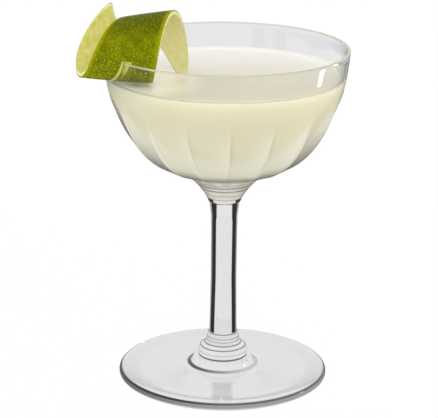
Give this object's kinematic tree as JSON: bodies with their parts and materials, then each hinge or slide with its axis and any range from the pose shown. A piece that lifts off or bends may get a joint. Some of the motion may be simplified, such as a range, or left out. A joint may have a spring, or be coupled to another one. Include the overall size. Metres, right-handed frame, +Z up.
{
  "type": "vodka gimlet in a coupe glass",
  "caption": "Stemmed coupe glass with a pressed-panel bowl, filled with a pale cloudy citrus drink, and a curled twist of lime peel hung on its rim.",
  "frame": {"origin": "centre of the plane that the foot rests on", "axes": "+Z up the stem's axis, -Y the front, the side the curl opens beside, and the lime twist hangs towards -X"},
  "size_m": [0.1047, 0.095, 0.1508],
  "materials": {
    "glass": "clear, polished",
    "drink": "cloudy liquid",
    "lime_peel": "waxy rind"
  },
  "bodies": {
    "root": {"glass": "glass", "drink": "drink", "lime_twist": "lime_peel"}
  },
  "joints": []
}
